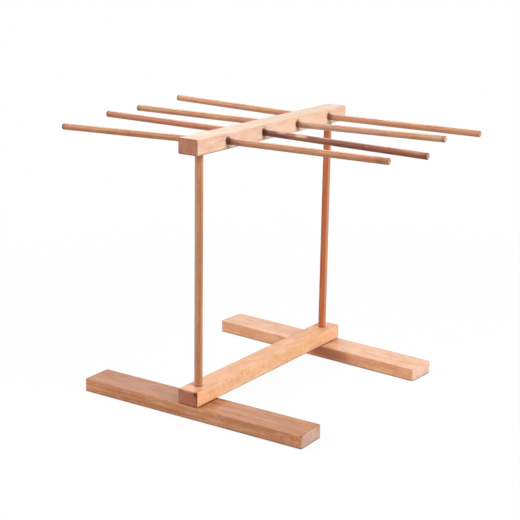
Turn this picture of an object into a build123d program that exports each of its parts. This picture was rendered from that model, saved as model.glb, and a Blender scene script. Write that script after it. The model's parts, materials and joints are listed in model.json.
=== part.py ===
from build123d import *
from math import cos, radians, sin
import os

# A free-standing pasta drying rack of bare wood, in millimetres.
# X runs along the feet and the arms, Y along the rails away from the front, and Z up.
# The origin is on the table, below the middle of the two rails.

# Feet: flat cross bars, each turned about its screw by some degrees, anticlockwise seen from above
foot_length = 318
foot_width = 43
foot_thickness = 16.5
foot_corner_radius = 2
foot_edge_radius = 1.2
front_foot_degrees = 1.0
rear_foot_degrees = -3.2

# Rails: the base rail lies on the feet, with one lower edge rounder, and the uprights carry the top rail
rail_length = 325
rail_width = 28
rail_height = 19
rail_edge_radius = 1.2
base_rail_round_radius = 3

# Uprights: round posts, glued into blind sockets in both rails
upright_diameter = 10
upright_height = 284
upright_socket_depth = 12
glue_gap = 0.05

# Arms: round rods that pull out of blind sockets in the top rail's sides. The end distance is from the
# rail's front end to the first left arm, and from its rear end to the last right arm
arm_diameter = 8
arm_reach = 212
arm_end_distance = 43
arm_stagger = 15
arm_socket_depth = 20
arm_clearance = 0.05
arm_end_gap = 0.2
arm_chamfer = 0.8
arms_a_side = 4
# The arms aren't cut or drilled quite alike: shares of the reach, and degrees that each tip rises
right_reach_shares = (1.005, 1.045, 0.967, 1.01)
left_reach_shares = (1.005, 0.965, 1.015, 0.97)
right_rise_degrees = (0.7, -0.6, 1.3, 0.4)
left_rise_degrees = (-1.9, 0.1, -0.5, 1.1)

# Screws: countersunk, with a cross recess, each up through a foot and the base rail into an upright
screw_diameter = 4.5
screw_core_diameter = 3.2
screw_length = 35
screw_shank_length = 18
screw_point_length = 4
screw_pitch = 1.8
screw_head_diameter = 9
screw_head_sink = 1
screw_clearance = 0.05
screw_end_gap = 0.5
recess_width = 1.3
recess_span = 4.8
recess_depth = 2

# How far a cut runs past the surface that it starts from
overrun = 1

# Heights and places that follow from the sizes
base_rail_top = foot_thickness + rail_height
top_rail_bottom = base_rail_top + upright_height
arm_level = top_rail_bottom + rail_height / 2
arm_pitch = (rail_length - 2 * arm_end_distance - arm_stagger) / (arms_a_side - 1)
pivot_distance = (rail_length - foot_width) / 2
pivot_places = {"front": -pivot_distance, "rear": pivot_distance}
foot_turns = {"front": radians(front_foot_degrees), "rear": radians(rear_foot_degrees)}
arm_reach_shares = {"right": right_reach_shares, "left": left_reach_shares}
arm_rise_degrees = {"right": right_rise_degrees, "left": left_rise_degrees}
screw_radius = screw_diameter / 2
screw_hole_radius = screw_radius + screw_clearance
screw_top = screw_head_sink + screw_length
upright_bottom = base_rail_top - upright_socket_depth

os.makedirs("parts", exist_ok=True)


def across(side):
    """Which way a side's arms point along X."""
    return 1 if side == "right" else -1


def socket_mouth(side, number):
    """The plane of an arm's socket at the rail's side, facing out along the arm."""
    rise = radians(arm_rise_degrees[side][number])
    place = (number - (arms_a_side - 1) / 2) * arm_pitch + across(side) * arm_stagger / 2
    return Plane(
        origin=(across(side) * rail_width / 2, place, arm_level),
        x_dir=(0, 1, 0),
        z_dir=(across(side) * cos(rise), 0, sin(rise)),
    )


# Each foot is a bar with rounded corners and eased edges, countersunk from below for its screw
for end, turn in foot_turns.items():
    table = Plane(
        origin=(0, pivot_places[end], 0),
        x_dir=(cos(turn), sin(turn), 0),
        z_dir=(0, 0, 1),
    )
    with BuildPart() as foot:
        with BuildSketch(table):
            RectangleRounded(foot_length, foot_width, foot_corner_radius)
        extrude(amount=foot_thickness)
        fillet(foot.faces().filter_by(Axis.Z).edges(), foot_edge_radius)
        with Locations(Plane(origin=table.origin, z_dir=(0, 0, -1))):
            CounterSinkHole(
                radius=screw_hole_radius,
                counter_sink_radius=screw_head_diameter / 2 + screw_head_sink + screw_clearance,
                counter_sink_angle=90,
            )
    foot.part.label = f"foot_{end}"
    export_step(foot.part, f"parts/foot_{end}.step")

# The base rail's left lower edge is the rounder one. Its top has a socket for each upright, and the
# screw's hole goes on through its floor
rear_end = Plane(
    origin=(0, rail_length / 2, foot_thickness + rail_height / 2),
    x_dir=(1, 0, 0),
    z_dir=(0, -1, 0),
)
with BuildPart() as base_rail:
    with BuildSketch(rear_end) as section:
        Rectangle(rail_width, rail_height)
        fillet(section.vertices().sort_by(lambda corner: corner.X + corner.Y)[1:], rail_edge_radius)
        fillet(section.vertices().sort_by(lambda corner: corner.X + corner.Y)[0], base_rail_round_radius)
    extrude(amount=rail_length)
    fillet(base_rail.faces().filter_by(Axis.Y).edges(), rail_edge_radius)
    with Locations([(0, place, base_rail_top) for place in pivot_places.values()]):
        Hole(radius=upright_diameter / 2 + glue_gap, depth=upright_socket_depth)
        Hole(radius=screw_hole_radius)
base_rail.part.label = "base_rail"
export_step(base_rail.part, "parts/base_rail.step")

# The top rail has the uprights' sockets in its underside and the arms' sockets in its sides
with BuildPart() as top_rail:
    with BuildSketch(Plane.XY.offset(top_rail_bottom)):
        Rectangle(rail_width, rail_length)
    extrude(amount=rail_height)
    fillet(top_rail.edges(), rail_edge_radius)
    for place in pivot_places.values():
        with Locations(Plane(origin=(0, place, top_rail_bottom), z_dir=(0, 0, -1))):
            Hole(radius=upright_diameter / 2 + glue_gap, depth=upright_socket_depth)
    for side in arm_rise_degrees:
        for number in range(arms_a_side):
            with Locations(socket_mouth(side, number).offset(overrun)):
                Hole(radius=arm_diameter / 2 + arm_clearance, depth=arm_socket_depth + overrun)
top_rail.part.label = "top_rail"
export_step(top_rail.part, "parts/top_rail.step")

# Each upright fills its two sockets, and its lower end is drilled for the foot's screw
for end, place in pivot_places.items():
    with BuildPart() as upright:
        with BuildSketch(Plane(origin=(0, place, upright_bottom), z_dir=(0, 0, 1))):
            Circle(upright_diameter / 2)
        extrude(amount=upright_height + 2 * upright_socket_depth)
        with Locations(Plane(origin=(0, place, upright_bottom), z_dir=(0, 0, -1))):
            Hole(radius=screw_hole_radius, depth=screw_top + screw_end_gap - upright_bottom)
    upright.part.label = f"upright_{end}"
    export_step(upright.part, f"parts/upright_{end}.step")

# Each arm starts just short of its socket's floor, and both its ends are chamfered
for side in arm_rise_degrees:
    for number in range(arms_a_side):
        depth = arm_socket_depth - arm_end_gap
        reach = arm_reach * arm_reach_shares[side][number]
        with BuildPart() as arm:
            with BuildSketch(socket_mouth(side, number).offset(-depth)):
                Circle(arm_diameter / 2)
            extrude(amount=depth + reach)
            chamfer(arm.edges().filter_by(GeomType.CIRCLE), arm_chamfer)
        arm.part.label = f"arm_{side}_{number + 1}"
        export_step(arm.part, f"parts/arm_{side}_{number + 1}.step")

# Each screw is one turned form: head, plain shank in the foot, ridged thread in the upright, and point
thread_start = screw_head_sink + screw_shank_length
thread_end = screw_top - screw_point_length
ridge_count = int((thread_end - thread_start) / screw_pitch)
ridges = []
for number in range(ridge_count):
    height = thread_start + number * screw_pitch
    ridges += [
        (screw_core_diameter / 2, height),
        (screw_radius, height + screw_pitch / 2),
    ]
for end, place in pivot_places.items():
    with BuildPart() as screw:
        with BuildSketch(Plane(origin=(0, place, 0), x_dir=(1, 0, 0), z_dir=(0, -1, 0))):
            with BuildLine():
                Polyline(
                    (0, screw_head_sink),
                    (screw_head_diameter / 2, screw_head_sink),
                    (screw_radius, screw_head_sink + screw_head_diameter / 2 - screw_radius),
                    (screw_radius, thread_start - screw_pitch / 2),
                    *ridges,
                    (screw_core_diameter / 2, thread_end),
                    (0, screw_top),
                    close=True,
                )
            make_face()
        revolve(axis=Axis((0, place, 0), (0, 0, 1)))
        with BuildSketch(Plane.XY.offset(screw_head_sink)):
            with Locations((0, place)):
                Rectangle(recess_span, recess_width)
                Rectangle(recess_width, recess_span)
        extrude(amount=recess_depth, mode=Mode.SUBTRACT)
    screw.part.label = f"foot_screw_{end}"
    export_step(screw.part, f"parts/foot_screw_{end}.step")
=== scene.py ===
import bpy
import json
from math import radians
from mathutils import Matrix, Quaternion, Vector


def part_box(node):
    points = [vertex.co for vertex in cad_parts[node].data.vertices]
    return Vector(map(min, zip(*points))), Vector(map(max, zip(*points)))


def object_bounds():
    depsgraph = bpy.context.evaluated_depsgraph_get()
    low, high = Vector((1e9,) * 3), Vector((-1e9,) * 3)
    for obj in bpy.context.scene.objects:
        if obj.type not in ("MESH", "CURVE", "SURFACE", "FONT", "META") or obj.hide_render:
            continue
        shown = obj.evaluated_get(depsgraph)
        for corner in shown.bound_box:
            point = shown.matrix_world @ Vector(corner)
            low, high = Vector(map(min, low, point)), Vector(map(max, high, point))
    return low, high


# The looks of a pasta drying rack: beech and zinc on the CAD's own pieces, with a floor, lamps and a camera
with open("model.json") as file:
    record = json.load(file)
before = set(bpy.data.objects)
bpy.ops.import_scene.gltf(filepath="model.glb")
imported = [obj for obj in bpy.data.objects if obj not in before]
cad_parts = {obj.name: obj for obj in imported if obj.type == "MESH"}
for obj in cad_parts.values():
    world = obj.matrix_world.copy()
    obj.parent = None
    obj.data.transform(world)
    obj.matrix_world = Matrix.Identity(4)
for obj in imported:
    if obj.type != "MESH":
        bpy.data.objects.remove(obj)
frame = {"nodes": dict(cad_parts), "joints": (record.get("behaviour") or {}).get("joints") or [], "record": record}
CAD_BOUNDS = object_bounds()
NODES = frame["nodes"]
JOINTS = {joint["child"]: joint for joint in frame["joints"]}
MOUNTS = {mount["name"]: mount for mount in frame["record"]["mounts"]}

MM = 0.001
X_AXIS = Vector((1, 0, 0))
Y_AXIS = Vector((0, 1, 0))
Z_AXIS = Vector((0, 0, 1))


def rgb(red, green, blue):
    return (red, green, blue, 1.0)


WHITE = rgb(1, 1, 1)

# The camera's place and the point it is aimed at, in metres, the photograph's slight roll, and the lens and
# the sensor's width in millimetres
CAMERA_PLACE = Vector((0.9030, -1.3514, 0.6098))
CAMERA_AIM = Vector((-0.0060, -0.0041, 0.1608))
CAMERA_ROLL = radians(0.92)
CAMERA_LENS = 92.67
CAMERA_SENSOR = 36.0

# Lamps: the side each lights from, its distance and width in metres, and its watts
LAMPS = {
    "key": {"side": Vector((0.80, -0.12, 0.59)), "distance": 1.9, "width": 1.5, "watts": 36.0},
    "fill": {"side": Vector((-0.63, -0.63, 0.45)), "distance": 2.2, "width": 1.7, "watts": 25.0},
    "top": {"side": Vector((-0.54, 0.48, 0.69)), "distance": 1.9, "width": 1.2, "watts": 13.0},
}
# Light from all round. Reflections find white on the backdrop's side and a dimmer room opposite it, and the
# fade is how far a way points to the backdrop where the one turns into the other
TENT_LIGHT = 0.16
BACKDROP_SIDE = Vector((-0.56, 0.83, 0.0))
BACKDROP_FADE = (-0.35, 0.25)
ROOM_LIGHT = 0.30
# The floor lies just below the feet. Its paint differs for the light and for the eye, which near the rack
# sees it mostly as plain white, and as white alone from the fade's second distance in metres
FLOOR_WIDTH = 12.0
FLOOR_DROP = 0.1 * MM
FLOOR_PAINT = rgb(0.45, 0.45, 0.45)
FLOOR_PAINT_SEEN = rgb(0.94, 0.94, 0.94)
FLOOR_WHITENESS = 0.93
FLOOR_FADE = (0.45, 1.0)
# The painted contact shadow, a thin line where the feet meet the floor: its reach, how open the place is
# where it starts and ends, and how much of the white is left in it
CONTACT_REACH = 1.8 * MM
CONTACT_OPENNESS = (0.35, 0.95)
CONTACT_WHITE = 0.5
CONTACT_SAMPLES = 8


class Graph:
    """Adds shader nodes to a tree, one call for each, and links what it is given."""

    def __init__(self, tree):
        self.tree = tree

    def put(self, value, socket):
        if isinstance(value, bpy.types.NodeSocket):
            self.tree.links.new(value, socket)
        elif value is not None:
            socket.default_value = value

    def add(self, kind, values=(), **settings):
        node = self.tree.nodes.new(kind)
        for name, value in settings.items():
            setattr(node, name, value)
        for key, value in dict(values).items():
            self.put(value, node.inputs[key])
        return node

    def math(self, operation, a, b=None, c=None):
        return self.add("ShaderNodeMath", {0: a, 1: b, 2: c}, operation=operation).outputs[0]

    def vector(self, operation, a, b=None):
        node = self.add("ShaderNodeVectorMath", {0: a, 1: b}, operation=operation)
        return node.outputs["Value" if operation in ("DOT_PRODUCT", "LENGTH") else "Vector"]

    def join(self, x, y, z):
        return self.add("ShaderNodeCombineXYZ", {0: x, 1: y, 2: z}).outputs[0]

    def split(self, vector):
        return self.add("ShaderNodeSeparateXYZ", {0: vector}).outputs

    def mapping(self, vector, kind, **values):
        """A vector on other axes: a place where kind is TEXTURE, and a plain way where it is VECTOR."""
        values = {name.title(): value for name, value in values.items()}
        values["Vector"] = vector
        return self.add("ShaderNodeMapping", values, vector_type=kind).outputs[0]

    def noise(self, vector, sizes, detail=2.0, roughness=0.5, output="Fac"):
        """Noise whose spots have these sizes along the vector's three axes."""
        scaled = self.vector("DIVIDE", vector, sizes)
        values = {"Vector": scaled, "Scale": 1.0, "Detail": detail, "Roughness": roughness}
        return self.add("ShaderNodeTexNoise", values).outputs[output]

    def step(self, value, low, high, start=0.0, end=1.0):
        """A smooth step from start to end while the value goes from low to high."""
        values = {0: value, 1: low, 2: high, 3: start, 4: end}
        return self.add("ShaderNodeMapRange", values, interpolation_type="SMOOTHSTEP").outputs[0]

    def fall(self, value, low, high):
        """A smooth step down, from 1 to 0."""
        return self.step(value, low, high, 1.0, 0.0)

    def clamp(self, value):
        return self.add("ShaderNodeClamp", {0: value}).outputs[0]

    def about(self, value, amount):
        """A noise value, which lies about a half, as a swing of that amount about zero."""
        return self.math("MULTIPLY", self.math("SUBTRACT", value, NOISE_MIDDLE), amount)

    def total(self, *values):
        result = values[0]
        for value in values[1:]:
            result = self.math("ADD", result, value)
        return result

    def mix(self, share, a, b, blend="MIX"):
        node = self.add("ShaderNodeMix", {0: share, 6: a, 7: b}, data_type="RGBA", blend_type=blend)
        return node.outputs[2]

    def times(self, *colours):
        result = colours[0]
        for colour in colours[1:]:
            result = self.mix(1.0, result, colour, blend="MULTIPLY")
        return result


def emptied(block):
    """The graph of a new material or world, with its usual nodes taken out."""
    block.use_nodes = True
    block.node_tree.nodes.clear()
    return Graph(block.node_tree)


def add_object(name, data):
    made = bpy.data.objects.new(name, data)
    bpy.context.scene.collection.objects.link(made)
    return made


# What the beech is told by each piece, and what it gives back
VECTOR = "NodeSocketVector"
COLOUR = "NodeSocketColor"
NUMBER = "NodeSocketFloat"
BEECH_INPUTS = {
    "Grain": VECTOR, "Normal": VECTOR, "Seed": VECTOR, "Pith": VECTOR, "Half": VECTOR, "Under": VECTOR,
    "Pale Edge": VECTOR, "Pale End": VECTOR, "Pale Corner": VECTOR,
    "Tone": COLOUR, "Side Tone": COLOUR, "End Tone": COLOUR,
    "Streaks": NUMBER, "Flecks": NUMBER, "Mottle": NUMBER, "Edges": NUMBER, "Brink": NUMBER,
}
BEECH_OUTPUTS = {"Color": COLOUR, "Roughness": NUMBER, "Height": NUMBER}

# Beech, in millimetres: the width of a year, and the rays that cross the years from the pith outward. A ray's
# height lies along the fibres, and its width round the pith, at the ray radius from it
RING_WIDTH = 2.3
RAY_HEIGHT = 2.6
RAY_REACH = 9.0
RAY_WIDTH = 0.7
RAY_RADIUS = 40.0
# The sizes of its waves, clouds and pores along the fibres, across and up. Those of the spokes in the end
# grain are along, outward and round the pith
SIZES = {
    "sweep": (170, 50, 50),
    "wave": (26, 9, 9),
    "year": (70, 14, 14),
    "fine": (38, 0.9, 0.9),
    "broad": (150, 4.2, 4.2),
    "cloud": (24, 10, 10),
    "pore": (2.2, 0.16, 0.16),
    "hue": (38, 9, 9),
    "blotch": (13, 2.6, 2.6),
    "wear": (9, 3, 3),
    "gloss": (18, 5, 5),
    "spoke": (6, 16, 0.42),
}
# The value that noise lies about
NOISE_MIDDLE = 0.5
# How far noise moves things: the fibres by its sweeps and waves, in millimetres, the rings, in years, and the
# inner limit of the worn edges, in millimetres
SWEEP_SWING = (0, 9, 9)
WAVE_SWING = (0, 1, 1)
YEAR_SWING = 1.6
WEAR_SWING = 1.6
# Where soft steps start and end. Those of the edges are depths in millimetres, and those of faces say how far
# a normal points along or across the grain
STEPS = {
    "late wood comes": (0.35, 0.90),
    "late wood stops": (0.92, 1.0),
    "ray shows": (0.35, 0.55),
    "ray outline": (0.22, 0.48),
    "pore": (0.60, 0.72),
    "hue": (0.3, 0.7),
    "blotch": (0.36, 0.64),
    "side face": (0.50, 0.85),
    "end face": (0.60, 0.90),
    "edge": (0.6, 2.1),
    "pale edge": (1.4, 2.8),
    "end edge": (0.8, 2.2),
    "lower edge": (1.0, 2.6),
    "chamfer comes": (0.20, 0.50),
    "chamfer stops": (0.80, 0.97),
}
# What each part of the figure adds to the shade, which runs from deep wood at 0 to pale wood at 1
SIDE_SHADE = {
    "middle": 0.52, "fine": 1.0, "broad": 1.2, "cloud": 1.0, "late": -0.14, "fleck": -0.38, "pore": -0.10,
}
END_SHADE = {"middle": 0.58, "spoke": 1.2, "cloud": 1.1, "late": -0.3}
# What each part adds to the roughness, and to the height that the bump follows
ROUGHNESS = {"middle": 0.34, "shade": -0.14, "gloss": 0.16, "end": 0.20}
SIDE_HEIGHT = {"fine": 0.9, "pore": -0.55, "late": -0.25}
END_HEIGHT = {"spoke": 1.2, "late": -0.5}
# What the palest and the deepest wood do to a piece's tone, and how its hue drifts and is mottled
PALE_WOOD = rgb(1.18, 1.34, 1.46)
DEEP_WOOD = rgb(0.80, 0.62, 0.52)
PINK_WOOD = rgb(1.00, 0.95, 1.00)
YELLOW_WOOD = rgb(1.00, 1.01, 0.90)
GOLD_WOOD = rgb(1.05, 0.99, 0.78)
ROSE_WOOD = rgb(0.96, 0.99, 1.16)
# What wear does to the tone along a piece's edges: the upper ones, the lower ones, where it is painted shade, and
# those round its ends
WORN_EDGE = rgb(0.70, 0.60, 0.55)
LOWER_EDGE_SHADE = rgb(0.36, 0.27, 0.23)
END_EDGE = rgb(0.50, 0.38, 0.32)
# The surface of the wood
WOOD_IOR = 1.45
WOOD_SHINE = 0.32
BUMP_STRENGTH = 0.35
BUMP_DEPTH = 0.05 * MM
# A mark's outline: where it starts to fade and ends, as shares of its size, how ragged it is, and the least
# size of the noise that makes it so
MARK_FADE = (0.35, 1.1)
MARK_RAGGEDNESS = 0.7
MARK_NOISE_LEAST = 0.6


def make_beech():
    """Beech as solid wood. Grain is a place in millimetres from the piece's middle, x along the fibres,
    Normal the surface's normal on the same axes, and Pith the way from the rings' middle to the piece's."""
    tree = bpy.data.node_groups.new("beech", "ShaderNodeTree")
    for name, kind in BEECH_INPUTS.items():
        tree.interface.new_socket(name, in_out="INPUT", socket_type=kind)
    for name, kind in BEECH_OUTPUTS.items():
        tree.interface.new_socket(name, in_out="OUTPUT", socket_type=kind)
    g = Graph(tree)
    given = tree.nodes.new("NodeGroupInput").outputs
    results = tree.nodes.new("NodeGroupOutput").inputs

    # The fibres wander across the piece in long sweeps and short waves
    start = g.vector("ADD", given["Grain"], given["Seed"])
    middle = (NOISE_MIDDLE, NOISE_MIDDLE, NOISE_MIDDLE)
    sweep = g.vector("SUBTRACT", g.noise(start, SIZES["sweep"], output="Color"), middle)
    wave = g.vector("SUBTRACT", g.noise(start, SIZES["wave"], output="Color"), middle)
    swept = g.vector("MULTIPLY", sweep, SWEEP_SWING)
    wander = g.vector("ADD", swept, g.vector("MULTIPLY", wave, WAVE_SWING))
    place = g.vector("ADD", start, wander)
    along, across, up = g.split(g.vector("ADD", g.vector("ADD", given["Grain"], wander), given["Pith"]))
    radius = g.vector("LENGTH", g.join(0, across, up))
    around = g.math("MULTIPLY", g.math("ARCTAN2", up, across), RAY_RADIUS)
    from_pith = g.join(along, radius, around)

    # Year rings end in a thin line of denser wood
    years = g.math("DIVIDE", radius, RING_WIDTH)
    year = g.math("FRACT", g.math("ADD", years, g.about(g.noise(place, SIZES["year"]), YEAR_SWING)))
    comes = g.step(year, *STEPS["late wood comes"])
    late = g.math("SUBTRACT", comes, g.step(year, *STEPS["late wood stops"]))

    # Rays show as short dashes where the fibres are cut flat, and as wider flakes where cut along a spoke
    spun = g.vector("DIVIDE", from_pith, (RAY_HEIGHT, RAY_REACH, RAY_WIDTH))
    cells = g.add("ShaderNodeTexVoronoi", {"Vector": spun, "Scale": 1.0, "Randomness": 1.0})
    chosen = g.step(g.split(cells.outputs["Color"])[0], *STEPS["ray shows"])
    fleck = g.math("MULTIPLY", chosen, g.fall(cells.outputs["Distance"], *STEPS["ray outline"]))

    fine = g.noise(place, SIZES["fine"], detail=3.0, roughness=0.62)
    broad = g.noise(place, SIZES["broad"])
    cloud = g.noise(place, SIZES["cloud"], roughness=0.6)
    pores = g.step(g.noise(place, SIZES["pore"], detail=1.0), *STEPS["pore"])
    spokes = g.noise(from_pith, SIZES["spoke"])

    # The long faces: from deep wood at shade 0 to pale wood at 1, in a tone of their own across the grain,
    # which is partly painted light for how those faces are lit
    streaks = g.total(g.about(fine, SIDE_SHADE["fine"]), g.about(broad, SIDE_SHADE["broad"]))
    streaks = g.math("MULTIPLY", given["Streaks"], streaks)
    flecks = g.math("MULTIPLY", given["Flecks"], g.math("MULTIPLY", fleck, SIDE_SHADE["fleck"]))
    clouds = g.about(cloud, SIDE_SHADE["cloud"])
    late_side = g.math("MULTIPLY", late, SIDE_SHADE["late"])
    shade = g.total(SIDE_SHADE["middle"], streaks, flecks, clouds, late_side)
    shade = g.clamp(g.math("MULTIPLY_ADD", pores, SIDE_SHADE["pore"], shade))
    hue = g.step(g.noise(place, SIZES["hue"]), *STEPS["hue"])
    n_along, n_across = g.split(g.vector("ABSOLUTE", given["Normal"]))[:2]
    tone = g.mix(g.step(n_across, *STEPS["side face"]), given["Tone"], given["Side Tone"])
    side = g.times(tone, g.mix(shade, DEEP_WOOD, PALE_WOOD), g.mix(hue, PINK_WOOD, YELLOW_WOOD))
    blotch = g.step(g.noise(place, SIZES["blotch"]), *STEPS["blotch"])
    side = g.times(side, g.mix(given["Mottle"], WHITE, g.mix(blotch, ROSE_WOOD, GOLD_WOOD)))

    # End grain: with the rings across it and the rays as fine spokes
    late_end = g.math("MULTIPLY", late, END_SHADE["late"])
    end_shade = g.total(END_SHADE["middle"], g.about(spokes, END_SHADE["spoke"]), late_end,
                        g.about(cloud, END_SHADE["cloud"]))
    end = g.times(given["End Tone"], g.mix(g.clamp(end_shade), DEEP_WOOD, PALE_WOOD))
    is_end = g.step(n_along, *STEPS["end face"])
    colour = worn(g, g.mix(is_end, side, end), given, place, n_along)
    g.put(colour, results["Color"])

    gloss = g.about(g.noise(place, SIZES["gloss"]), ROUGHNESS["gloss"])
    roughness = g.total(ROUGHNESS["middle"], g.about(shade, ROUGHNESS["shade"]), gloss)
    g.put(g.math("MULTIPLY_ADD", is_end, ROUGHNESS["end"], roughness), results["Roughness"])

    side_height = g.total(g.about(fine, SIDE_HEIGHT["fine"]), g.math("MULTIPLY", pores, SIDE_HEIGHT["pore"]),
                          g.math("MULTIPLY", late, SIDE_HEIGHT["late"]))
    end_height = g.total(g.about(spokes, END_HEIGHT["spoke"]), g.math("MULTIPLY", late, END_HEIGHT["late"]))
    height = g.add("ShaderNodeMix", {0: is_end, 2: side_height, 3: end_height}, data_type="FLOAT").outputs[0]
    g.put(height, results["Height"])
    return tree


def worn(g, colour, given, place, n_along):
    """The colour with its edges burnished darker, unevenly. Along the lower edges the darkening is painted
    shade, and deeper. The pale edges are spared. The chamfers at a rod's ends turn darker too, as far as
    the piece asks for it."""
    # How far a place is from its piece's nearest edge: of its distances to the sides, the second smallest
    depths = g.vector("SUBTRACT", given["Half"], g.vector("ABSOLUTE", given["Grain"]))
    to_end, to_side, to_top = g.split(depths)
    least = g.math("MINIMUM", to_end, g.math("MINIMUM", to_side, to_top))
    most = g.math("MAXIMUM", to_end, g.math("MAXIMUM", to_side, to_top))
    to_edge = g.math("SUBTRACT", g.total(to_end, to_side, to_top), g.math("ADD", least, most))

    uneven = g.about(g.noise(place, SIZES["wear"], detail=3.0), WEAR_SWING)
    wear = g.fall(g.math("ADD", to_edge, uneven), *STEPS["edge"])
    for name in ("Pale Edge", "Pale End", "Pale Corner"):
        inward = g.vector("SUBTRACT", given["Half"], g.vector("MULTIPLY", given["Grain"], given[name]))
        distance = g.vector("LENGTH", g.vector("MULTIPLY", inward, g.vector("ABSOLUTE", given[name])))
        wear = g.math("MULTIPLY", wear, g.step(distance, *STEPS["pale edge"]))
    wear = g.math("MULTIPLY", given["Edges"], wear)

    drop = g.vector("DOT_PRODUCT", given["Half"], g.vector("ABSOLUTE", given["Under"]))
    to_bottom = g.math("SUBTRACT", drop, g.vector("DOT_PRODUCT", given["Grain"], given["Under"]))
    edge_wear_and_shade = g.mix(g.fall(to_end, *STEPS["end edge"]), WORN_EDGE, END_EDGE)
    # The lower edges get painted shade, deeper than the wear
    edge_wear_and_shade = g.mix(g.fall(to_bottom, *STEPS["lower edge"]), edge_wear_and_shade, LOWER_EDGE_SHADE)
    colour = g.times(colour, g.mix(wear, WHITE, edge_wear_and_shade))

    comes = g.step(n_along, *STEPS["chamfer comes"])
    chamfer = g.math("MULTIPLY", comes, g.fall(n_along, *STEPS["chamfer stops"]))
    return g.times(colour, g.mix(g.math("MULTIPLY", chamfer, given["Brink"]), WHITE, END_EDGE))


def grain_axes(node):
    """A wooden piece's middle, and its own axes: along its fibres, across them and up."""
    low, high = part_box(node)
    middle = (low + high) / 2
    if node.startswith("foot"):
        # A foot's mount lies off its pivot, along the foot
        along = Vector(MOUNTS[node + "_underside"]["pos_m"]) - Vector(JOINTS[node]["pos_m"])
        along.z = 0
        along.normalize()
        across = Z_AXIS.cross(along)
    elif node.startswith("arm"):
        along = Vector(JOINTS[node]["axis"]).normalized()
        along *= 1 if along.x > 0 else -1
        across = Y_AXIS
    elif node.endswith("rail"):
        along = Y_AXIS
        across = Z_AXIS
    else:
        along = Z_AXIS
        across = X_AXIS
    return middle, Matrix((along, across, along.cross(across)))


def mark(g, colour, grain, centre, size, tone, share):
    """Mixes a soft-edged patch of another tone into the colour. Its centre and half sizes are in
    millimetres on the grain's axes."""
    noise_size = tuple(max(MARK_NOISE_LEAST, length / 2) for length in size)
    ragged = g.about(g.noise(grain, noise_size), MARK_RAGGEDNESS)
    offset = g.vector("DIVIDE", g.vector("SUBTRACT", grain, centre), size)
    distance = g.math("ADD", g.vector("LENGTH", offset), ragged)
    return g.mix(g.step(distance, *MARK_FADE, share, 0.0), colour, rgb(*tone))


# Which long edge, end edge and upright corner of a piece wear has spared, as signs along, across and up.
# Three signs name no more than the tip of one corner
CORNER_TIP = (1, 1, 1)


def wood(node, beech, tone, end, seed, pith, side=None, streaks=1.0, flecks=1.0, mottle=0.6,
         edges=0.0, brink=0.0, pale_edge=CORNER_TIP, pale_end=CORNER_TIP, pale_corner=CORNER_TIP,
         shine=WOOD_SHINE, marks=()):
    """The material of one wooden piece, cut from its own place in the tree."""
    material = bpy.data.materials.new("beech_" + node)
    g = emptied(material)
    middle, axes = grain_axes(node)
    corners = [axes @ (corner.co - middle) for corner in NODES[node].data.vertices]
    half = [max(abs(corner[axis]) for corner in corners) / MM for axis in range(3)]
    coordinates = g.add("ShaderNodeTexCoord").outputs
    turn = axes.transposed().to_euler()
    grain = g.mapping(coordinates["Object"], "TEXTURE", location=middle, rotation=turn, scale=(MM, MM, MM))
    normal = g.mapping(coordinates["Normal"], "VECTOR", rotation=axes.to_euler())
    block = g.add("ShaderNodeGroup", node_tree=beech)
    values = {
        "Grain": grain, "Normal": normal, "Seed": seed, "Pith": pith, "Half": half, "Under": axes @ -Z_AXIS,
        "Pale Edge": pale_edge, "Pale End": pale_end, "Pale Corner": pale_corner,
        "Tone": rgb(*tone), "Side Tone": rgb(*(side or tone)), "End Tone": rgb(*end),
        "Streaks": streaks, "Flecks": flecks, "Mottle": mottle, "Edges": edges, "Brink": brink,
    }
    for name, value in values.items():
        g.put(value, block.inputs[name])
    colour = block.outputs["Color"]
    for given in marks:
        colour = mark(g, colour, grain, **given)
    height = block.outputs["Height"]
    bump = g.add("ShaderNodeBump", {"Height": height, "Strength": BUMP_STRENGTH, "Distance": BUMP_DEPTH})
    shader = g.add("ShaderNodeBsdfPrincipled", {
        "Base Color": colour, "Roughness": block.outputs["Roughness"], "Normal": bump.outputs[0],
        "IOR": WOOD_IOR, "Specular IOR Level": shine,
    })
    g.add("ShaderNodeOutputMaterial", {"Surface": shader.outputs[0]})
    return material


# Marks on single pieces, in millimetres on their grain's axes. On a foot and an arm the third number is up,
# on a rail it is to the right and the second one up, and on an upright it is to the rear. The reach across
# and up is wide enough here to go all round a rod
ALL_ROUND = 30


def band(place, reach, tone, share):
    """A mark all round a rod, at a place along it."""
    return {"centre": (place, 0, 0), "size": (reach, ALL_ROUND, ALL_ROUND), "tone": tone, "share": share}


FOOT_FRONT_MARKS = [
    # This first mark is painted shade, a thin line where the base rail stands on the foot
    {"centre": (15, 0, 8.2), "size": (1.8, 30, 1.5), "tone": (0.16, 0.045, 0.022), "share": 0.8},
    {"centre": (158.5, -21, 7.2), "size": (1.6, 1.6, 1.6), "tone": (0.12, 0.035, 0.02), "share": 0.8},
    {"centre": (158.5, -21, -7.2), "size": (1.6, 1.6, 1.6), "tone": (0.12, 0.035, 0.02), "share": 0.8},
]
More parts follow.
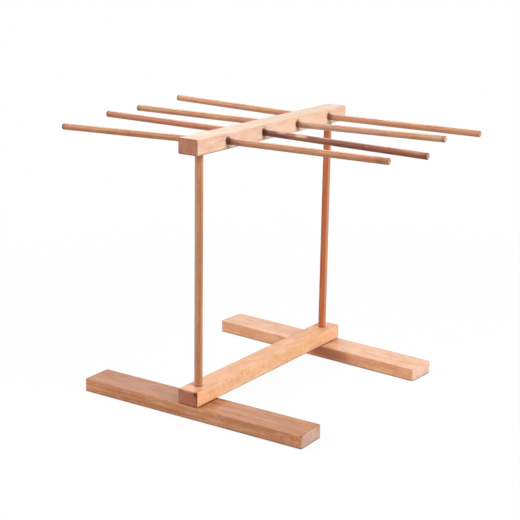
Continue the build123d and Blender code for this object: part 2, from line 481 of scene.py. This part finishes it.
# Painted shade: a thin line where the base rail stands on the foot, and the rail's shadow on the foot's side
# beside it
FOOT_REAR_PAINTED_SHADE = [
    {"centre": (15, 0, 8.2), "size": (1.6, 30, 1.5), "tone": (0.22, 0.07, 0.035), "share": 0.7},
    {"centre": (25, -21.5, 0), "size": (45, 3, 12), "tone": (0.50, 0.17, 0.075), "share": 0.75},
]
BASE_RAIL_MARKS = [
    {"centre": (-162.5, 6.8, 12.0), "size": (2.2, 5.2, 4.2), "tone": (0.11, 0.014, 0.003), "share": 0.92},
    {"centre": (-162.5, 0, 13.8), "size": (1.0, 11, 1.1), "tone": (0.20, 0.045, 0.014), "share": 0.75},
    {"centre": (-162.5, 9, 0), "size": (1.2, 0.9, 14), "tone": (0.35, 0.10, 0.05), "share": 0.6},
    {"centre": (-140, 9.5, -2), "size": (48, 3, 16), "tone": (0.78, 0.43, 0.25), "share": 0.6},
]

# The top rail is paler low on its right side, to the rear and round the arms, and has painted shade
# round all arms' sockets
RAIL_SIDE = 14
RIGHT_PLACES = (-104.5, -29.8, 44.8, 119.5)
LEFT_PLACES = (-119.5, -44.8, 29.8, 104.5)
TOP_RAIL_MARKS = [
    {"centre": (48, -9.5, RAIL_SIDE), "size": (125, 2.6, 2.6), "tone": (0.80, 0.58, 0.42), "share": 0.8},
    {"centre": (70, 0, RAIL_SIDE), "size": (95, 14, 4), "tone": (0.90, 0.62, 0.41), "share": 0.55},
]
for place in RIGHT_PLACES:
    TOP_RAIL_MARKS.append(
        {"centre": (place, 0, RAIL_SIDE), "size": (9, 9, 3), "tone": (0.86, 0.54, 0.36), "share": 0.4})
# Painted shade in the gap round each arm's socket, on both sides of the rail
for out, places in ((RAIL_SIDE, RIGHT_PLACES), (-RAIL_SIDE, LEFT_PLACES)):
    for place in places:
        TOP_RAIL_MARKS.append(
            {"centre": (place, 1.8, out), "size": (5.6, 5.2, 2), "tone": (0.20, 0.06, 0.02), "share": 0.9})

# Painted shade round an upright's ends, where it meets the rails
UPRIGHT_END_PAINTED_SHADE = [
    {"centre": (-142, 0, 0), "size": (2.4, 9, 9), "tone": (0.20, 0.06, 0.03), "share": 0.7},
    {"centre": (142, 0, 0), "size": (1.8, 9, 9), "tone": (0.20, 0.06, 0.03), "share": 0.5},
]
# A painted highlight down the upright's left front, and a band of painted shade right of its middle
UPRIGHT_FRONT_PAINTED_LIGHT = [
    {"centre": (0, -1.4, -4.8), "size": (260, 3.0, 3.0), "tone": (0.62, 0.40, 0.30), "share": 0.8},
    {"centre": (0, 4.05, -2.9), "size": (260, 1.7, 1.7), "tone": (0.46, 0.165, 0.065), "share": 0.85},
    *UPRIGHT_END_PAINTED_SHADE,
]
# A painted highlight down the upright's right side, and a band of painted shade at its right front
UPRIGHT_REAR_PAINTED_LIGHT = [
    {"centre": (0, 4.85, -1.2), "size": (260, 2.6, 2.6), "tone": (0.66, 0.33, 0.19), "share": 0.8},
    {"centre": (0, 3.0, -4.0), "size": (260, 1.9, 1.9), "tone": (0.48, 0.135, 0.055), "share": 0.7},
    *UPRIGHT_END_PAINTED_SHADE,
]
ARM_RIGHT_1_MARKS = [
    # The first and last bands are painted shade at the root, where the arm leaves its socket
    band(-97, 26, (0.32, 0.12, 0.055), 0.45),
    band(107, 10, (0.33, 0.10, 0.04), 0.55),
    band(-98, 15, (0.11, 0.022, 0.006), 0.92),
]
ARM_RIGHT_2_MARKS = [
    # Painted highlight along the upper side
    {"centre": (0, -1.0, 3.8), "size": (130, 1.8, 1.8), "tone": (0.46, 0.21, 0.12), "share": 0.55},
    # Painted shade near the root
    {"centre": (-84, -2.5, -0.5), "size": (32, 5.5, 5.5), "tone": (0.12, 0.02, 0.02), "share": 0.75},
    {"centre": (-47, -3.0, 2.6), "size": (12, 2.4, 2.4), "tone": (0.78, 0.44, 0.25), "share": 1.0},
    {"centre": (-29, -2.0, 2.0), "size": (12, 3.0, 3.0), "tone": (0.15, 0.035, 0.025), "share": 0.75},
    {"centre": (-74, -2.6, 3.2), "size": (9, 1.6, 1.6), "tone": (0.70, 0.42, 0.24), "share": 0.8},
    {"centre": (24, -3.0, -0.5), "size": (54, 4.5, 4.5), "tone": (0.20, 0.05, 0.025), "share": 0.6},
    {"centre": (101, -2.4, 2.8), "size": (24, 2.6, 1.8), "tone": (0.50, 0.25, 0.11), "share": 0.7},
    {"centre": (4, -3.2, -2.0), "size": (7, 2.2, 2.2), "tone": (0.13, 0.022, 0.010), "share": 0.75},
    {"centre": (38, -2.2, 0.6), "size": (4, 3.0, 3.0), "tone": (0.11, 0.020, 0.010), "share": 0.75},
    {"centre": (72, -3.0, -2.2), "size": (9, 2.2, 2.2), "tone": (0.13, 0.025, 0.012), "share": 0.75},
    band(118.6, 2.2, (0.16, 0.045, 0.02), 0.65),
    # Painted shade at the root, where the arm leaves its socket
    band(-103, 12, (0.06, 0.009, 0.004), 0.9),
]
ARM_RIGHT_3_MARKS = [
    # Painted shade near the root
    {"centre": (-90, 0, -2), "size": (22, 30, 8), "tone": (0.30, 0.13, 0.07), "share": 0.45},
    band(110.5, 2.2, (0.28, 0.10, 0.05), 0.55),
    # Painted shade at the root, where the arm leaves its socket
    band(-94, 10, (0.15, 0.04, 0.012), 0.88),
]
ARM_RIGHT_4_MARKS = [
    # Painted shade at the root, where the arm leaves its socket
    band(-98, 11, (0.18, 0.055, 0.02), 0.85),
]
ARM_LEFT_1_MARKS = [
    band(-116.4, 4.5, (0.13, 0.055, 0.035), 0.9),
]
ARM_LEFT_2_MARKS = [
    {"centre": (-112.2, 0, 2), "size": (4.5, 30, 8), "tone": (0.14, 0.06, 0.045), "share": 0.85},
    {"centre": (28, -2.5, 1.5), "size": (15, 2.2, 2.2), "tone": (0.40, 0.14, 0.07), "share": 0.5},
    {"centre": (-46, -2.5, 0.5), "size": (18, 2.0, 2.0), "tone": (0.42, 0.15, 0.075), "share": 0.5},
]
ARM_LEFT_3_MARKS = [
    {"centre": (-117.5, 0, 1), "size": (6, 30, 14), "tone": (0.20, 0.09, 0.085), "share": 0.85},
]
ARM_LEFT_4_MARKS = [
    band(-112.7, 3.5, (0.26, 0.09, 0.05), 0.65),
]

# What the pieces of one kind share
FOOT = {"pale_edge": (0, -1, 1), "pale_end": (1, 0, 1), "pale_corner": (1, -1, 0)}
UPRIGHT = {"flecks": 0.6}
ARM = {"streaks": 1.4, "brink": 1.0, "shine": 0.5}

# Each wooden piece: its tones along and across the grain and at its ends, the one across the grain partly
# painted light, its place in the tree, how strong its figure is, and its marks
WOOD = {
    "foot_front": {
        **FOOT, "tone": (0.48, 0.21, 0.10), "side": (0.72, 0.34, 0.17), "end": (0.62, 0.38, 0.29),
        "seed": (310, 45, 7), "pith": (0, 6, 58),
        "streaks": 1.5, "flecks": 1.1, "mottle": 1.0, "edges": 0.9, "marks": FOOT_FRONT_MARKS,
    },
    "foot_rear": {
        **FOOT, "tone": (0.82, 0.50, 0.33), "side": (0.94, 0.50, 0.28), "end": (0.93, 0.61, 0.45),
        "seed": (-140, 245, 37), "pith": (0, 16, 52),
        "streaks": 0.6, "flecks": 0.5, "mottle": 0.45, "edges": 0.8, "marks": FOOT_REAR_PAINTED_SHADE,
    },
    "base_rail": {
        "tone": (0.99, 0.58, 0.33), "side": (0.79, 0.43, 0.23), "end": (0.53, 0.19, 0.11),
        "seed": (60, -135, 91), "pith": (0, 44, -13), "pale_edge": (0, 1, 1),
        "streaks": 0.4, "flecks": 0.85, "mottle": 0.2, "edges": 0.8, "marks": BASE_RAIL_MARKS,
    },
    "top_rail": {
        "tone": (0.84, 0.57, 0.44), "side": (0.78, 0.57, 0.40), "end": (0.58, 0.25, 0.14),
        "seed": (560, 35, -91), "pith": (0, -48, 22), "pale_edge": (0, 1, 1), "pale_end": (-1, 0, 1),
        "streaks": 0.35, "flecks": 0.4, "mottle": 0.1, "edges": 0.9, "marks": TOP_RAIL_MARKS,
    },
    "upright_front": {
        **UPRIGHT, "tone": (0.59, 0.28, 0.15), "end": (0.42, 0.22, 0.13),
        "seed": (88, 15, 63), "pith": (0, 30, 25), "marks": UPRIGHT_FRONT_PAINTED_LIGHT,
    },
    "upright_rear": {
        **UPRIGHT, "tone": (0.56, 0.16, 0.05), "end": (0.42, 0.20, 0.12),
        "seed": (-88, 115, 163), "pith": (0, -30, 35), "marks": UPRIGHT_REAR_PAINTED_LIGHT,
    },
    "arm_right_1": {
        **ARM, "tone": (0.59, 0.26, 0.13), "end": (0.44, 0.26, 0.20),
        "seed": (11, 7, 3), "pith": (0, 32, 18), "marks": ARM_RIGHT_1_MARKS,
    },
    "arm_right_2": {
        **ARM, "tone": (0.34, 0.11, 0.05), "end": (0.50, 0.32, 0.25),
        "seed": (21, 17, 13), "pith": (0, 22, -28), "marks": ARM_RIGHT_2_MARKS,
    },
    "arm_right_3": {
        **ARM, "tone": (0.63, 0.34, 0.20), "end": (0.60, 0.40, 0.31),
        "seed": (31, 27, 23), "pith": (0, -25, 25), "marks": ARM_RIGHT_3_MARKS,
    },
    "arm_right_4": {
        **ARM, "tone": (0.63, 0.29, 0.16), "end": (0.55, 0.30, 0.16),
        "seed": (41, 37, 33), "pith": (0, 35, 5), "marks": ARM_RIGHT_4_MARKS,
    },
    "arm_left_1": {
        **ARM, "tone": (0.56, 0.24, 0.09), "end": (0.42, 0.24, 0.16),
        "seed": (51, 47, 43), "pith": (0, 15, -35), "marks": ARM_LEFT_1_MARKS,
    },
    "arm_left_2": {
        **ARM, "tone": (0.55, 0.21, 0.09), "end": (0.40, 0.22, 0.15),
        "seed": (61, 57, 53), "pith": (0, -28, 12), "marks": ARM_LEFT_2_MARKS,
    },
    "arm_left_3": {
        **ARM, "tone": (0.57, 0.27, 0.12), "end": (0.42, 0.24, 0.16),
        "seed": (71, 67, 63), "pith": (0, 30, 30), "marks": ARM_LEFT_3_MARKS,
    },
    "arm_left_4": {
        **ARM, "tone": (0.61, 0.27, 0.13), "end": (0.42, 0.24, 0.16),
        "seed": (81, 77, 73), "pith": (0, -33, 14), "marks": ARM_LEFT_4_MARKS,
    },
}

# Zinc on the screws: its own tone, its dull patches and its turning rings, with their sizes in millimetres
ZINC = rgb(0.66, 0.65, 0.60)
DULL_ZINC = rgb(0.50, 0.50, 0.49)
RING_ZINC = rgb(0.72, 0.71, 0.68)
DULL_SIZE = (2.5, 2.5, 2.5)
DULL_STEP = (0.35, 0.7)
TURNING_SIZE = (6, 6, 0.12)
TURNING_STEP = (0.3, 0.7)
ZINC_ROUGHNESS = {"middle": 0.34, "dull": 0.30, "rings": 0.12}
ZINC_BUMP_STRENGTH = 0.25
ZINC_BUMP_DEPTH = 0.03 * MM


def make_steel():
    """Satin zinc on the screws, with fine turning rings and dull patches."""
    material = bpy.data.materials.new("screw_steel")
    g = emptied(material)
    place = g.vector("DIVIDE", g.add("ShaderNodeTexCoord").outputs["Object"], (MM, MM, MM))
    rings = g.noise(place, TURNING_SIZE, detail=3.0)
    dull = g.noise(place, DULL_SIZE, detail=3.0)
    colour = g.mix(g.step(dull, *DULL_STEP), ZINC, DULL_ZINC)
    colour = g.mix(g.step(rings, *TURNING_STEP), colour, RING_ZINC)
    roughness = g.total(ZINC_ROUGHNESS["middle"], g.about(dull, ZINC_ROUGHNESS["dull"]),
                        g.about(rings, ZINC_ROUGHNESS["rings"]))
    bump = g.add("ShaderNodeBump", {
        "Height": rings, "Strength": ZINC_BUMP_STRENGTH, "Distance": ZINC_BUMP_DEPTH,
    })
    shader = g.add("ShaderNodeBsdfPrincipled", {
        "Base Color": colour, "Metallic": 1.0, "Roughness": roughness, "Normal": bump.outputs[0],
    })
    g.add("ShaderNodeOutputMaterial", {"Surface": shader.outputs[0]})
    return material


def dress(node, material):
    """Gives every face of a CAD node this material."""
    mesh = NODES[node].data
    mesh.materials.clear()
    mesh.materials.append(material)


def seen(g):
    """1 for rays that come from the camera, straight or by a reflection or through glass, and else 0."""
    path = g.add("ShaderNodeLightPath").outputs
    direct = g.math("MAXIMUM", path["Is Camera Ray"], path["Is Glossy Ray"])
    return g.math("MAXIMUM", direct, path["Is Transmission Ray"])


def make_world():
    """Soft light from all round. The camera sees it as plain white, and so do reflections on the
    backdrop's side, while opposite it they find the dimmer room."""
    world = bpy.data.worlds.new("tent")
    g = emptied(world)
    way = g.add("ShaderNodeTexCoord").outputs["Generated"]
    mirrored = g.step(g.vector("DOT_PRODUCT", way, BACKDROP_SIDE), *BACKDROP_FADE, ROOM_LIGHT, 1.0)
    path = g.add("ShaderNodeLightPath").outputs
    shown = g.math("MAXIMUM", path["Is Camera Ray"], g.math("MULTIPLY", mirrored, seen(g)))
    strength = g.math("MAXIMUM", shown, TENT_LIGHT)
    light = g.add("ShaderNodeBackground", {"Color": WHITE, "Strength": strength})
    g.add("ShaderNodeOutputWorld", {"Surface": light.outputs[0]})
    # Sampled as a lamp, its white would only add grain, because that is for the eye alone
    world.cycles.sampling_method = "NONE"
    bpy.context.scene.world = world


def make_floor():
    """A pale table top, seen as nearly white, with the rack's soft shadow on it and a thin painted shadow where
    the feet meet it.
    """
    half = FLOOR_WIDTH / 2
    mesh = bpy.data.meshes.new("floor")
    corners = [(x, y, -FLOOR_DROP) for x, y in ((-half, -half), (half, -half), (half, half), (-half, half))]
    mesh.from_pydata(corners, [], [(0, 1, 2, 3)])
    material = bpy.data.materials.new("floor_paint")
    g = emptied(material)
    shown = seen(g)
    paint = g.add("ShaderNodeBsdfDiffuse", {"Color": g.mix(shown, FLOOR_PAINT, FLOOR_PAINT_SEEN)})
    # Painted contact shadow: the white dims where the floor is closed in by the feet
    openness = g.add("ShaderNodeAmbientOcclusion", {"Distance": CONTACT_REACH}, samples=CONTACT_SAMPLES)
    strength = g.step(openness.outputs["AO"], *CONTACT_OPENNESS, CONTACT_WHITE, 1.0)
    white = g.add("ShaderNodeEmission", {"Color": WHITE, "Strength": strength})
    reach = g.vector("LENGTH", g.add("ShaderNodeTexCoord").outputs["Object"])
    share = g.math("MULTIPLY", shown, g.step(reach, *FLOOR_FADE, FLOOR_WHITENESS, 1.0))
    both = g.add("ShaderNodeMixShader", {0: share, 1: paint.outputs[0], 2: white.outputs[0]})
    g.add("ShaderNodeOutputMaterial", {"Surface": both.outputs[0]})
    mesh.materials.append(material)
    # As with the world, the white is for the eye alone
    material.cycles.emission_sampling = "NONE"
    floor = add_object("floor", mesh)


def make_lamps():
    """Round area lamps, all aimed at the middle of the CAD's box."""
    low, high = CAD_BOUNDS
    middle = (low + high) / 2
    for name, lamp in LAMPS.items():
        data = bpy.data.lights.new(name, "AREA")
        data.shape = "DISK"
        data.size = lamp["width"]
        data.energy = lamp["watts"]
        side = lamp["side"].normalized()
        light = add_object(name, data)
        light.location = middle + side * lamp["distance"]
        light.rotation_mode = "QUATERNION"
        light.rotation_quaternion = side.to_track_quat("Z", "Y")


def make_camera():
    data = bpy.data.cameras.new("camera")
    data.lens = CAMERA_LENS
    data.sensor_width = CAMERA_SENSOR
    camera = add_object("camera", data)
    camera.location = CAMERA_PLACE
    camera.rotation_mode = "QUATERNION"
    level = (CAMERA_AIM - CAMERA_PLACE).to_track_quat("-Z", "Y")
    camera.rotation_quaternion = level @ Quaternion(Z_AXIS, CAMERA_ROLL)
    bpy.context.scene.camera = camera


make_camera()
make_world()
make_lamps()
make_floor()
beech_group = make_beech()
for node_name, settings in WOOD.items():
    dress(node_name, wood(node_name, beech_group, **settings))
steel = make_steel()
for node_name in ("foot_screw_front", "foot_screw_rear"):
    dress(node_name, steel)
bpy.context.scene.view_settings.view_transform = "Standard"
